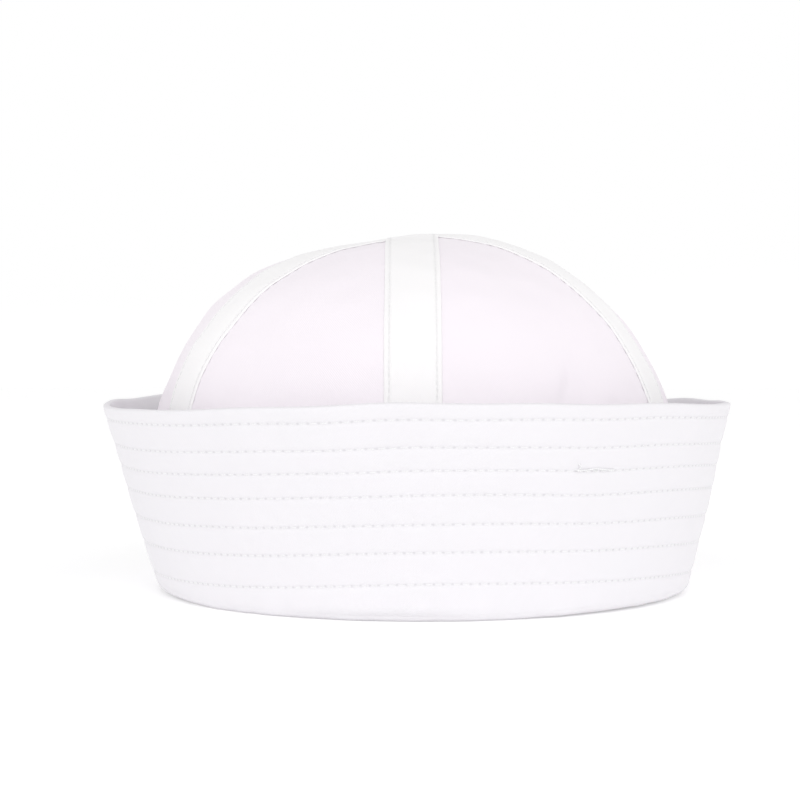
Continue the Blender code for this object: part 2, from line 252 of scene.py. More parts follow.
def make_woven_cotton():
    """Twill: slanting ribs of crossed threads, uneven as spun cotton is, slightly mottled, and with
    painted shade on the low threads between the ribs.
    """
    group, given, result = socket_group(
        "woven_cotton",
        (
            ("Cloth Place", "NodeSocketVector", None),
            ("Rib Pitch", "NodeSocketFloat", 0.0009),
            ("Light Thread", "NodeSocketColor", (0.9, 0.9, 0.9, 1.0)),
            ("Shaded Thread", "NodeSocketColor", (0.8, 0.8, 0.8, 1.0)),
            ("Mottle", "NodeSocketFloat", 0.2),
        ),
        (("Color", "NodeSocketColor"), ("Roughness", "NodeSocketFloat"), ("Height", "NodeSocketFloat")),
    )
    nodes, links = group.nodes, group.links
    pull = nodes.new("ShaderNodeTexNoise")
    pull.inputs["Scale"].default_value = 260.0
    pull.inputs["Detail"].default_value = 2.0
    links.new(given.outputs["Cloth Place"], pull.inputs["Vector"])
    place = nodes.new("ShaderNodeSeparateXYZ")
    links.new(given.outputs["Cloth Place"], place.inputs[0])
    across = math_node(group, "DIVIDE", place.outputs[0], given.outputs["Rib Pitch"])
    up = math_node(group, "DIVIDE", place.outputs[1], given.outputs["Rib Pitch"])
    bend = math_node(group, "MULTIPLY", pull.outputs[0], 0.9)
    slant = math_node(group, "ADD", math_node(group, "ADD", across, up), bend)
    rib = math_node(group, "SINE", math_node(group, "MULTIPLY", slant, 2 * math.pi))
    warp = math_node(group, "SINE", math_node(group, "MULTIPLY", across, 4 * math.pi))
    weft = math_node(group, "SINE", math_node(group, "MULTIPLY", up, 4 * math.pi))
    cross = math_node(group, "MULTIPLY", warp, weft)
    height = math_node(group, "MULTIPLY_ADD", rib, 0.30, 0.5)
    height = math_node(group, "MULTIPLY_ADD", cross, 0.14, height)
    links.new(height, result.inputs["Height"])

    patches = nodes.new("ShaderNodeTexNoise")
    patches.inputs["Scale"].default_value = 34.0
    patches.inputs["Detail"].default_value = 4.0
    links.new(given.outputs["Cloth Place"], patches.inputs["Vector"])
    shade = math_node(group, "MULTIPLY", patches.outputs[0], given.outputs["Mottle"])
    # The low threads between the ribs are painted darker, as shade. The patches above add a real uneven
    # tone.
    depth = math_node(group, "SUBTRACT", 0.75, math_node(group, "MULTIPLY", height, 0.75))
    shade = math_node(group, "ADD", shade, math_node(group, "MULTIPLY", depth, 0.55))
    colour = mix_colours(group, shade, given.outputs["Light Thread"], given.outputs["Shaded Thread"])
    links.new(colour, result.inputs["Color"])
    rough = math_node(group, "MULTIPLY_ADD", patches.outputs[0], 0.10, 0.80)
    links.new(rough, result.inputs["Roughness"])
    return group


woven_cotton = make_woven_cotton()


def cotton_finish(name, light, shaded, rib_pitch, mottle, relief):
    """A cloth material: the weave's colours with their painted shade, its uneven roughness and its
    relief, with a soft sheen.
    """
    material = bpy.data.materials.new(name)
    material.use_nodes = True
    tree = material.node_tree
    shader = tree.nodes["Principled BSDF"]
    shader.inputs["Sheen Weight"].default_value = 0.15
    shader.inputs["Sheen Roughness"].default_value = 0.45
    shader.inputs["Specular IOR Level"].default_value = 0.25
    place = tree.nodes.new("ShaderNodeUVMap")
    place.uv_map = "cloth"
    weave = tree.nodes.new("ShaderNodeGroup")
    weave.node_tree = woven_cotton
    weave.name = "weave"
    tree.links.new(place.outputs[0], weave.inputs["Cloth Place"])
    weave.inputs["Rib Pitch"].default_value = rib_pitch
    weave.inputs["Light Thread"].default_value = light
    weave.inputs["Shaded Thread"].default_value = shaded
    weave.inputs["Mottle"].default_value = mottle
    bump = tree.nodes.new("ShaderNodeBump")
    bump.name = "relief"
    bump.inputs["Strength"].default_value = 0.5
    bump.inputs["Distance"].default_value = relief
    tree.links.new(weave.outputs["Color"], shader.inputs["Base Color"])
    tree.links.new(weave.outputs["Roughness"], shader.inputs["Roughness"])
    tree.links.new(weave.outputs["Height"], bump.inputs["Height"])
    tree.links.new(bump.outputs[0], shader.inputs["Normal"])
    return material


# The gores' cotton is painted greyer than the tapes', as shade from the dark inside of the cap that shows
# through its single thin layer.
single_cotton = cotton_finish(
    "single_cotton", light=(0.930, 0.880, 0.926, 1), shaded=(0.865, 0.815, 0.863, 1),
    rib_pitch=0.0008, mottle=0.30, relief=0.00005,
)


GORE_FOOT_ROWS, GORE_DOME_ROWS, GORE_COLUMNS = 27, 70, 73
PUCKER_PITCH, PUCKER_REACH, PUCKER_DEPTH = 0.0052, 0.0045, 0.00011
CREASE_BEARING, CREASE_RISE, CREASE_LEAN = 34.5, 0.0235, 0.22
CREASE_WIDTH, CREASE_LENGTH, CREASE_DEPTH = 0.0016, 0.0058, 0.0007


def make_gore(name, start, end):
    """One gore between two seams, with a short crease low on the right front one."""
    eye = math.acos(CROWN_EYE_RADIUS / DOME_HALF_WIDTH)
    foot_climbs, dome_climbs = np.linspace(-1, 0, GORE_FOOT_ROWS), np.linspace(0, eye, GORE_DOME_ROWS)
    climbs = np.concatenate((foot_climbs[:-1], dome_climbs))
    reach = DOME_HALF_WIDTH * np.cos(np.maximum(climbs, 0.0))
    inset = np.degrees(SEAM_GAP / 2 / reach)[:, None]
    share = np.linspace(0, 1, GORE_COLUMNS)[None, :]
    bearings = start + inset + (end - start - 2 * inset) * share
    points = crown_surface(bearings, climbs[:, None])

    steps = np.linalg.norm(np.diff(points, axis=1), axis=2)
    across = np.concatenate((np.zeros((len(climbs), 1)), np.cumsum(steps, axis=1)), axis=1)
    middle = points[:, GORE_COLUMNS // 2]
    rises = np.linalg.norm(np.diff(middle, axis=0), axis=1)
    up = np.concatenate(([0.0], np.cumsum(rises)))[:, None] + 0 * share
    width = across[:, -1:]

    # The tapes draw the gore in, so it puckers beside them, except near its point.
    from_tape = np.minimum(across, width - across) - TAPE_WIDTH / 2
    wander = 1.2 * soft_swells(points, 0.030, seed=21)
    pucker = np.cos(2 * np.pi * up / PUCKER_PITCH + wander) * np.exp(-((from_tape / PUCKER_REACH) ** 2))
    pucker = PUCKER_DEPTH * pucker * (from_tape > -0.002) * np.clip(width / 0.06, 0, 1)
    outward = crown_outward(points)
    points = points + outward * pucker[..., None]

    crease = points - smooth_crown(CREASE_BEARING, math.asin(CREASE_RISE / DOME_RISE))
    aside = crease[..., 0] - CREASE_LEAN * crease[..., 2]
    dent = np.exp(-((aside / CREASE_WIDTH) ** 2) - (crease[..., 2] / CREASE_LENGTH) ** 2)
    points = points - outward * (CREASE_DEPTH * dent * (points[..., 1] < 0))[..., None]

    flat = np.stack((across - width / 2, up), axis=-1)
    gore = add_grid("gore_" + name, points[:, ::-1], flat[:, ::-1], single_cotton)
    cloth = gore.modifiers.new("cloth", "SOLIDIFY")
    cloth.thickness = GORE_CLOTH
    cloth.offset = 1.0
    cloth.use_even_offset = True
    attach(gore, "root")
    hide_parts("crown_gore_" + name)


for gore_name, gore_start, gore_end in zip(GORES, SEAM_BEARINGS, SEAM_BEARINGS[1:]):
    make_gore(gore_name, gore_start, gore_end)


# Five tapes of folded white cotton cover the crown's six seams. One runs up the front, over the top and
# down the back. The four others end under it at the top, where each is cut to meet its neighbour.
# Each tape has its edges turned under, and is sewn down along both edges.

TAPE_CLOTH = 0.0009
TAPE_STITCH = 0.0026
TAPE_ROW = 0.0079
TAPE_TUCK = 0.0030
TAPE_SEAT = 0.00010
TAPE_LOFT = 0.0005
TAPE_SWELL = 0.00015
TAPE_EDGE_ROUND = 0.0013
TAPE_END_ROUND = 0.0009
TAPE_ROW_PULL, TAPE_HOLE_PULL, TAPE_ROW_WIDTH = 0.00020, 0.00012, 0.00045
TAPE_JOIN = 0.00002
APEX_LIFT, APEX_LIFT_REACH, APEX_LIFT_FADE = 0.0004, 0.0145, 0.0055

# Offsets across a tape, closest where it is sewn and where its edge turns under.
half_profile = np.array(
    [0.0, 1.6, 3.2, 4.8, 6.0, 6.8, 7.2, 7.55, 7.9, 8.25, 8.6, 9.0, 9.35, 9.6, 9.7]
) / 1000
upper_profile = np.concatenate((-half_profile[:0:-1], half_profile))
under_profile = np.array([9.45, 6.0, 0.0, -6.0, -9.45]) / 1000


def make_needle_rows():
    """Rows of machine stitching: masks of the needle holes and of the shallow valley that each row pulls
    down. The finish uses both for painted shade, and the holes for relief too.
    """
    group, given, result = socket_group(
        "needle_rows",
        (
            ("Cloth Place", "NodeSocketVector", None),
            ("First Row", "NodeSocketFloat", 0.005),
            ("Row Pitch", "NodeSocketFloat", 0.010),
            ("Last Row", "NodeSocketFloat", 6.0),
            ("Stitch Length", "NodeSocketFloat", 0.003),
            ("Hole Size", "NodeSocketFloat", 0.0006),
        ),
        (("Hole", "NodeSocketFloat"), ("Valley", "NodeSocketFloat")),
    )
    place = group.nodes.new("ShaderNodeSeparateXYZ")
    group.links.new(given.outputs["Cloth Place"], place.inputs[0])
    down = math_node(group, "ABSOLUTE", place.outputs[1])
    down = math_node(group, "SUBTRACT", down, given.outputs["First Row"])
    down = math_node(group, "DIVIDE", down, given.outputs["Row Pitch"])
    row = math_node(group, "MAXIMUM", math_node(group, "ROUND", down), 0.0)
    row = math_node(group, "MINIMUM", row, given.outputs["Last Row"])
    away = math_node(group, "SUBTRACT", down, row)
    away = math_node(group, "MULTIPLY", away, given.outputs["Row Pitch"])
    turn = math_node(group, "DIVIDE", place.outputs[0], given.outputs["Stitch Length"])
    turn = math_node(group, "SUBTRACT", turn, math_node(group, "ROUND", turn))
    along = math_node(group, "MULTIPLY", turn, given.outputs["Stitch Length"])
    reach = math_node(group, "MULTIPLY_ADD", away, away, math_node(group, "POWER", along, 2.0))
    reach = math_node(group, "DIVIDE", math_node(group, "SQRT", reach), given.outputs["Hole Size"])
    hole = math_node(group, "MULTIPLY_ADD", reach, -1.6, 1.6)
    hole = math_node(group, "MINIMUM", math_node(group, "MAXIMUM", hole, 0.0), 1.0)
    group.links.new(hole, result.inputs["Hole"])
    valley = math_node(group, "DIVIDE", math_node(group, "ABSOLUTE", away), 0.0011)
    valley = math_node(group, "MAXIMUM", math_node(group, "SUBTRACT", 1.0, valley), 0.0)
    group.links.new(valley, result.inputs["Valley"])
    return group


needle_rows = make_needle_rows()


def sew_rows(material, layer, first_row, row_pitch, last_row, stitch_length, hole_size, hole_painted_shade):
    """Adds the needle holes and the valleys of rows of stitching, which lie evenly in this layer. Both
    get painted shade in the colour, and the holes are also sunk in the relief.
    """
    tree = material.node_tree
    shader, weave, bump = (tree.nodes[name] for name in ("Principled BSDF", "weave", "relief"))
    rows = tree.nodes.new("ShaderNodeGroup")
    rows.node_tree = needle_rows
    place = tree.nodes.new("ShaderNodeUVMap")
    place.uv_map = layer
    tree.links.new(place.outputs[0], rows.inputs["Cloth Place"])
    values = (first_row, row_pitch, last_row, stitch_length, hole_size)
    for label, value in zip(("First Row", "Row Pitch", "Last Row", "Stitch Length", "Hole Size"), values):
        rows.inputs[label].default_value = value
    # The row valleys and the needle holes are painted darker in the colour, as shade in their recesses.
    painted_row_shade = math_node(tree, "MULTIPLY_ADD", rows.outputs["Valley"], 0.08, 0.0)
    painted_row_shade = math_node(tree, "MULTIPLY_ADD", rows.outputs["Hole"], hole_painted_shade, painted_row_shade)
    shaded = weave.inputs["Shaded Thread"].default_value
    painted_shade_colour = tuple(0.72 * value for value in shaded[:3]) + (1.0,)
    colour = mix_colours(tree, painted_row_shade, weave.outputs["Color"], painted_shade_colour)
    tree.links.new(colour, shader.inputs["Base Color"])
    sunk = math_node(tree, "MULTIPLY", rows.outputs["Hole"], 1.8)
    height = math_node(tree, "SUBTRACT", weave.outputs["Height"], sunk)
    tree.links.new(height, bump.inputs["Height"])


tape_cotton = cotton_finish(
    "tape_cotton", light=(0.940, 0.928, 0.935, 1), shaded=(0.89, 0.88, 0.885, 1),
    rib_pitch=0.0007, mottle=0.25, relief=0.00005,
)
# The tape's needle holes and row valleys get painted shade.
sew_rows(
    tape_cotton, "cloth", first_row=TAPE_ROW, row_pitch=1.0, last_row=0.0,
    stitch_length=TAPE_STITCH, hole_size=0.00045, hole_painted_shade=0.22,
)


def make_thread_finish():
    """Spun cotton thread: plies twisted round each other, with a soft edge, and painted shade in the
    grooves between the plies.
    """
    material = bpy.data.materials.new("cotton_thread")
    material.use_nodes = True
    tree = material.node_tree
    shader = tree.nodes["Principled BSDF"]
    shader.inputs["Sheen Weight"].default_value = 0.2
    shader.inputs["Specular IOR Level"].default_value = 0.3
    place = tree.nodes.new("ShaderNodeUVMap")
    place.uv_map = "cloth"
    parts = tree.nodes.new("ShaderNodeSeparateXYZ")
    tree.links.new(place.outputs[0], parts.inputs[0])
    twist = math_node(tree, "MULTIPLY_ADD", parts.outputs[0], 1 / 0.0008, parts.outputs[1])
    ply = math_node(tree, "SINE", math_node(tree, "MULTIPLY", twist, 2 * math.pi))
    ply = math_node(tree, "MULTIPLY_ADD", ply, 0.5, 0.5)
    bump = tree.nodes.new("ShaderNodeBump")
    bump.inputs["Strength"].default_value = 0.6
    bump.inputs["Distance"].default_value = 0.00006
    tree.links.new(ply, bump.inputs["Height"])
    tree.links.new(bump.outputs[0], shader.inputs["Normal"])
    # The grooves between the plies are painted darker, as shade.
    colour = mix_colours(tree, ply, (0.80, 0.80, 0.81, 1), (0.93, 0.93, 0.93, 1))
    tree.links.new(colour, shader.inputs["Base Color"])
    rough = math_node(tree, "MULTIPLY_ADD", ply, -0.10, 0.85)
    tree.links.new(rough, shader.inputs["Roughness"])
    return material


cotton_thread = make_thread_finish()


def add_stitches(name, starts, ends, outward, thickness, arch, slot):
    """Short threads from start to end, which arch over the cloth and dive into it at both ends."""
    steps, sides = 7, 5
    share = np.linspace(0, 1, steps)
    along = ends - starts
    length = np.linalg.norm(along, axis=1, keepdims=True)
    aside = np.cross(outward, along / length)
    outward = np.cross(along / length, aside)
    bow = 1 - (2 * share - 1) ** 2
    centre = starts[:, None] + along[:, None] * share[:, None]
    centre = centre + outward[:, None] * (arch * bow - thickness * 0.35 * (1 - bow) ** 2)[:, None]
    radius = thickness / 2 * np.sqrt(1 - 0.8 * (2 * share - 1) ** 8)
    turn = -2 * np.pi * np.arange(sides) / sides
    ring = outward[:, None] * np.cos(turn)[:, None] + aside[:, None] * np.sin(turn)[:, None]
    points = centre[:, :, None] + ring[:, None] * radius[:, None, None]
    count = len(starts)

    corner = np.arange(count)[:, None, None] * steps * sides
    step = np.arange(steps - 1)[None, :, None]
    side = np.arange(sides)[None, None, :]
    after = (side + 1) % sides
    faces = np.stack(np.broadcast_arrays(
        corner + step * sides + side, corner + step * sides + after,
        corner + (step + 1) * sides + after, corner + (step + 1) * sides + side,
    ), axis=-1).reshape(-1, 4).tolist()
    low, high = step / (steps - 1) * length[:, :, None], (step + 1) / (steps - 1) * length[:, :, None]
    round_low, round_high = side / sides, (side + 1) / sides
    places = np.stack([
        np.stack(np.broadcast_arrays(*pair), axis=-1)
        for pair in ((low, round_low), (low, round_high), (high, round_high), (high, round_low))
    ], axis=-2).reshape(-1, 2)
    for first in range(0, count * steps * sides, steps * sides):
        faces.append(list(range(first, first + sides))[::-1])
        faces.append(list(range(first + (steps - 1) * sides, first + steps * sides)))
    places = np.concatenate((places, np.zeros((count * 2 * sides, 2))))

    mesh = bpy.data.meshes.new(name)
    mesh.from_pydata(points.reshape(-1, 3).tolist(), [], faces)
    mesh.uv_layers.new(name="cloth").data.foreach_set("uv", places.astype(np.float32).ravel())
    mesh.shade_smooth()
    mesh.materials.append(cotton_thread)
    stitches = bpy.data.objects.new(name, mesh)
    bpy.context.scene.collection.objects.link(stitches)
    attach(stitches, "root")


def tape_height(offset, length):
    """Height of a tape's upper side over the gores: a rounded edge, and two rows that pull it down."""
    from_edge = TAPE_WIDTH / 2 - np.abs(offset)
    edge = np.sqrt(np.clip(1 - np.clip(1 - from_edge / TAPE_EDGE_ROUND, 0, 1) ** 2, 0, 1))
    pull = np.exp(-(((np.abs(offset) - TAPE_ROW) / TAPE_ROW_WIDTH) ** 2))
    beat = 0.5 + 0.5 * np.cos(2 * np.pi * length / TAPE_STITCH)
    full = TAPE_SEAT + TAPE_LOFT * edge + TAPE_SWELL * (1 - (offset / (TAPE_WIDTH / 2)) ** 2)
    return full - (TAPE_ROW_PULL + TAPE_HOLE_PULL * beat) * pull


def seam_line(bearing, top):
    """Climbs up a seam, and how far each one lies from the crown's foot along the cloth."""
    climbs = np.concatenate((np.linspace(-1, 0, 60)[:-1], np.linspace(0, top, 240)))
    steps = np.linalg.norm(np.diff(crown_surface(bearing, climbs), axis=0), axis=1)
    return climbs, np.concatenate(([0.0], np.cumsum(steps)))


def make_long_tape_line():
    """The long tape runs up the front, over the top and down the back, and lifts over the other tapes."""
    front_climbs, front_lengths = seam_line(0.0, math.pi / 2)
    back_climbs, back_lengths = seam_line(180.0, math.pi / 2)
    apex, whole = front_lengths[-1], front_lengths[-1] + back_lengths[-1]

    def place(length, offset, out):
        behind = length > apex
        front_climb = np.interp(length, front_lengths, front_climbs)
        back_climb = np.interp(whole - length, back_lengths, back_climbs)
        lift = APEX_LIFT * (1 - eased((np.abs(length - apex) - APEX_LIFT_REACH) / APEX_LIFT_FADE))
        return crown_surface(
            np.where(behind, 180.0, 0.0), np.where(behind, back_climb, front_climb),
            np.where(behind, -offset, offset), out + lift,
        )

    return place, whole


def make_side_tape_line(bearing, neighbour):
    """A side tape runs to the long tape, and is cut on the line half way to its neighbour's seam."""
    angle, middle = math.radians(bearing), math.radians((bearing + neighbour) / 2)
    ahead = np.array([math.sin(angle), -math.cos(angle)])
    aside = np.array([math.cos(angle), math.sin(angle)])
    away = np.array([math.cos(middle), math.sin(middle)])
    away *= math.copysign(1, away @ ahead)

    def end_climb(offset):
        past_long_tape = (TAPE_WIDTH / 2 - TAPE_TUCK) / abs(ahead[0]) - aside[0] * offset / ahead[0]
        past_neighbour = (TAPE_JOIN - away @ aside * offset) / (away @ ahead)
        return np.arccos(np.maximum(past_long_tape, past_neighbour) / DOME_HALF_WIDTH)

    climbs, lengths = seam_line(bearing, end_climb(0.0))

    def place(length, offset, out):
        climb = np.interp(length, lengths, climbs)
        climb = np.where(climb > 0, climb * end_climb(offset) / end_climb(0.0), climb)
        return crown_surface(bearing, climb, offset, out)

    return place, lengths[-1]


def make_tape(name, place, whole):
    """A tape and its two rows of stitches, along a seam."""
    lengths = np.linspace(0, whole, int(whole / (TAPE_STITCH / 3)) + 1)
    lengths = np.sort(np.append(lengths, whole - np.array([0.0006, 0.0003, 0.0001])))[:, None]
    offsets = np.concatenate((upper_profile, under_profile))[None, :]
    turned_under = np.sqrt(1 - (1 - np.clip((whole - lengths) / TAPE_END_ROUND, 0, 1)) ** 2)
    under_height, end_height = 0.00006, 0.00008
    heights = end_height + (tape_height(offsets, lengths) - end_height) * turned_under
    heights[:, len(upper_profile):] = under_height
    points = place(lengths, offsets, heights)
    across = np.concatenate((upper_profile, TAPE_WIDTH - under_profile, [TAPE_WIDTH * 1.5]))[None, :]
    flat = np.stack(np.broadcast_arrays(lengths, across), axis=-1)
    tape = add_grid(name, points, flat, tape_cotton, round_columns=True, ends=True)
    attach(tape, "root")
    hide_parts(name.replace("tape", "crown_strip"))

    middles = np.arange(4.5, whole / TAPE_STITCH - 1, 1.0) * TAPE_STITCH
    middles = np.tile(middles, 2)
    sides = np.repeat([-TAPE_ROW, TAPE_ROW], len(middles) // 2)
    seat = tape_height(sides, middles) + 0.00003
    reach = 0.37 * TAPE_STITCH
    starts, ends = place(middles - reach, sides, seat), place(middles + reach, sides, seat)
    ahead = 0.001
    outward = (place(middles, sides, seat + ahead) - place(middles, sides, seat)) / ahead
    add_stitches("stitches_" + name, starts, ends, outward, thickness=0.00030, arch=0.00008,
                 slot="cotton_tape")


make_tape("tape_front_back", *make_long_tape_line())
for tape_name, seam, neighbour_seam in (
    ("tape_front_right", 1, 2),
    ("tape_back_right", 2, 1),
    ("tape_back_left", 4, 5),
    ("tape_front_left", 5, 4),
):
    make_tape(tape_name, *make_side_tape_line(SEAM_BEARINGS[seam], SEAM_BEARINGS[neighbour_seam]))


# The brim is a band of white cotton in several layers, turned up and out from a round fold, the cap's
# foot. Its upper edge is folded in, and seven rows of machine stitching hold the layers together and
# stiffen it. Inside the fold, the band's lower edge is turned up and holds the foot of the crown.

BRIM_FOOT_OUT = CROWN_FOOT_OUT + SEAM_GAP + TAPE_CLOTH + SEAT_CLEARANCE + BRIM_CLOTH
TURN_IN_HEIGHT = 0.0120
TURN_IN_RADIUS = 0.0018
FOLD_RADIUS = 0.0042

# The brim's lean, and the rise of its rim, at the same eight bearings as the rise of its fold.
BRIM_LEANS = 0.0290 * np.array([1.00, 0.82, 0.60, 0.82, 1.00, 0.82, 0.60, 0.82])
RIM_RISES = BRIM_HEIGHT * np.array([0.026, 0.002, -0.020, -0.040, -0.020, -0.014, -0.022, -0.024])

# The rows lie unevenly below the rim. The finish reads them at an even pitch, from their own layer.
FIRST_ROW = 0.0048
ROW_PITCH = 0.0099
ROW_DROPS = FIRST_ROW + ROW_PITCH * np.cumsum([0.0, 0.97, 0.81, 0.86, 1.05, 1.02, 1.18])
EVEN_PITCH = 0.0100
ROW_WANDER = 0.0005
ROW_PULL, HOLE_PULL, ROW_WIDTH = 0.00026, 0.00014, 0.0006
PAD_SWELL, PAD_EDGE = 0.00016, 0.0026
BRIM_STITCHES = 216
STITCH_TURN = 360 / BRIM_STITCHES
BRIM_STITCH = 0.0034

quilted_cotton = cotton_finish(
    "quilted_cotton", light=(0.838, 0.821, 0.848, 1), shaded=(0.775, 0.762, 0.788, 1),
    rib_pitch=0.0009, mottle=0.30, relief=0.00007,
)
# The brim's needle holes and row valleys get painted shade.
sew_rows(
    quilted_cotton, "rows", first_row=ROW_DROPS[0], row_pitch=EVEN_PITCH, last_row=len(ROW_DROPS) - 1.0,
    stitch_length=BRIM_STITCH, hole_size=0.00065, hole_painted_shade=0.34,
)


def rim_height(bearing):
    """Height of the brim's upper edge, below the rounding of its cloth."""
    return BRIM_HEIGHT + round_the_brim(bearing, RIM_RISES)


def brim_slant(bearing):
    """The angle at which the brim leans out, from straight up."""
    return np.arctan2(round_the_brim(bearing, BRIM_LEANS), rim_height(bearing) - fold_height(bearing))


def quilting(bearing, drop):
    """Relief of the brim's face: each row pulls the layers in, most at its needle holes."""
    row = np.abs(np.asarray(drop)[..., None] - ROW_DROPS).argmin(axis=-1)
    away = drop - ROW_DROPS[row]
    beat = 0.5 + 0.5 * np.cos(np.radians(bearing) * BRIM_STITCHES)
    pull = (ROW_PULL + HOLE_PULL * beat) * np.exp(-((away / ROW_WIDTH) ** 2))
    swell = PAD_SWELL * (1 - np.exp(-((away / PAD_EDGE) ** 2)))
    return swell * eased(drop / 0.004) - pull


def brim_place(bearing, out, height):
    """A point of the brim, which sways more the nearer it is to the rim, and puckers at the fold."""
    angle = np.radians(bearing)
    share = np.clip(height / rim_height(bearing), 0, 1)
    points = np.stack(np.broadcast_arrays(
        (HEAD_HALF_WIDTH + out) * np.sin(angle), -(HEAD_HALF_LENGTH + out) * np.cos(angle), height
    ), axis=-1)
    slow = points * np.array([1.0, 1.0, 0.5])
    sway = 0.00050 * soft_swells(slow, 0.060, seed=31) + 0.00016 * soft_swells(slow, 0.020, seed=32)
    sway = sway * eased(share) + 0.00005 * soft_swells(points, 0.008, seed=33) * eased(share * 4)
    puckers = 0.00020 * soft_swells(slow, 0.012, seed=35) * (1 - eased(height / 0.016))
    out = out + sway + puckers
    height = height + 0.00025 * soft_swells(slow, 0.050, seed=34) * eased(share)
    across = FOOT_SHIFT * (1 - share) + (HEAD_HALF_WIDTH + out) * np.sin(angle)
    return np.stack((across, -(HEAD_HALF_LENGTH + out) * np.cos(angle), height), axis=-1)


def brim_face(bearing, drop, outer, above=0.0):
    """A point of the brim's outer or inner face, this far down its slant from the rim. The rows wander
    a little up and down, and all that lies at a row's drop goes with it."""
    rim, fold, slant = rim_height(bearing), fold_height(bearing), brim_slant(bearing)
    wander = ROW_WANDER * np.cos(np.radians(3 * (bearing + 8))) * eased(drop / ROW_DROPS[0])
    height = rim - (drop + wander) * np.cos(slant)
    out = BRIM_FOOT_OUT + (height - fold) * np.tan(slant)
    relief = quilting(bearing, drop) + above
    if outer:
        return out + relief * np.cos(slant), height - relief * np.sin(slant)
    return out - BRIM_CLOTH / np.cos(slant) - relief * np.cos(slant), height + relief * np.sin(slant)


def make_brim():
    """The band's whole section at each bearing: from the fold up the outer face to the rim, down the
    inner face to the floor of the fold, and over the turn-in. Drops past the rim are below 0."""
    bearings = np.arange(BRIM_STITCHES * 3) * STITCH_TURN / 3
    rim, fold, slant = rim_height(bearings), fold_height(bearings), brim_slant(bearings)
    level_cloth = BRIM_CLOTH / np.cos(slant)
    section = []

    def add_point(out, height, down):
        section.append([np.broadcast_to(value, bearings.shape) for value in (out, height, down)])

    corner = math.pi / 2 - slant
    middle = BRIM_FOOT_OUT - FOLD_RADIUS * np.tan(corner / 2)
    slant_length = (rim - fold) / np.cos(slant)
    for step in range(8):
        turn = corner * step / 8
        add_point(middle + FOLD_RADIUS * np.sin(turn), fold + FOLD_RADIUS * (1 - np.cos(turn)),
                  slant_length - FOLD_RADIUS * (turn - corner))
    face_end = (rim - fold - FOLD_RADIUS * (1 - np.cos(corner))) / np.cos(slant)

    half_way = np.concatenate(([0.0004], (ROW_DROPS[1:] + ROW_DROPS[:-1]) / 2))
    around_row = np.array([-3.4, -2.1, -1.2, -0.6, -0.2, 0.2, 0.6, 1.2, 2.1, 3.4]) / 1000
    drops = np.sort(np.append((ROW_DROPS[:, None] + around_row).ravel()[:-2], half_way))
    for share in (0.0, 0.35, 0.7, 0.9):
        drop = face_end + (drops[-1] - face_end) * share
        out, height = brim_face(bearings, drop, True)
        flat_out = BRIM_FOOT_OUT + (rim - drop * np.cos(slant) - fold) * np.tan(slant)
        add_point(flat_out + (out - flat_out) * share, height, drop)
    for drop in drops[::-1]:
        add_point(*brim_face(bearings, drop, True), drop)

    outer_rim = brim_face(bearings, 0.0, True)[0]
    rim_rounding = BRIM_CLOTH / 2 * 0.6
    for step in range(1, 8):
        turn = math.pi * step / 8
        add_point(outer_rim - level_cloth / 2 * (1 - math.cos(turn)),
                  rim + rim_rounding * math.sin(turn), 0.0)

    inner_row = np.array([-2.0, -0.6, 0.0, 0.6, 2.0]) / 1000
    inner_drops = np.sort(np.append((ROW_DROPS[:, None] + inner_row).ravel(), half_way))
    for drop in inner_drops:
        add_point(*brim_face(bearings, drop, False), -drop)

    floor_level = fold + BRIM_CLOTH
    floor_out = BRIM_FOOT_OUT + BRIM_CLOTH * np.tan(slant) - level_cloth
    last_out, last_height = brim_face(bearings, inner_drops[-1], False)
    for share in (0.5, 1.0):
        add_point(last_out + (floor_out - last_out) * share,
                  last_height + (floor_level - last_height) * share, -inner_drops[-1] - 0.003 * share)

    top_round = 0.0007
    turn_in_top = fold + TURN_IN_HEIGHT - top_round
    add_point(TURN_IN_CLOTH, floor_level, -0.075)
    add_point(TURN_IN_CLOTH, floor_level + 0.004, -0.079)
    add_point(TURN_IN_CLOTH, turn_in_top, -0.084)
    for turn in np.radians([45, 90, 135]):
        add_point(TURN_IN_CLOTH / 2 * (1 + math.cos(turn)),
                  turn_in_top + top_round * math.sin(turn), -0.085)
    add_point(0.0, turn_in_top, -0.086)
    add_point(0.0, fold + 0.0060, -0.090)
    for step in range(5):
        turn = math.pi / 2 * step / 4
        add_point(TURN_IN_RADIUS * (1 - math.cos(turn)), fold + TURN_IN_RADIUS * (1 - math.sin(turn)),
                  -0.095)

    section = np.array(section)
    points = brim_place(bearings, section[:, 0], section[:, 1])
    around = np.arange(len(bearings) + 1) * BRIM_STITCH / 3
    down = np.concatenate((section[:, 2], section[:, 2, :1]), axis=1)
    down = np.concatenate((down, 0 * down[:1] - 0.098))
    below_rows = 0.05
    even_rows = ROW_DROPS[0] + EVEN_PITCH * np.arange(len(ROW_DROPS))
    from_drops = np.concatenate(([0.0], ROW_DROPS, ROW_DROPS[-1:] + below_rows))
    to_drops = np.concatenate(([0.0], even_rows, even_rows[-1:] + below_rows))
    even_down = np.interp(np.abs(down), from_drops, to_drops)
    flat = np.stack(np.broadcast_arrays(around[None, :], down, around[None, :], even_down), axis=-1)
    brim = add_grid("brim_cloth", points, flat, quilted_cotton, round_rows=True, round_columns=True)
    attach(brim, "root")
    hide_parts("brim")


make_brim()


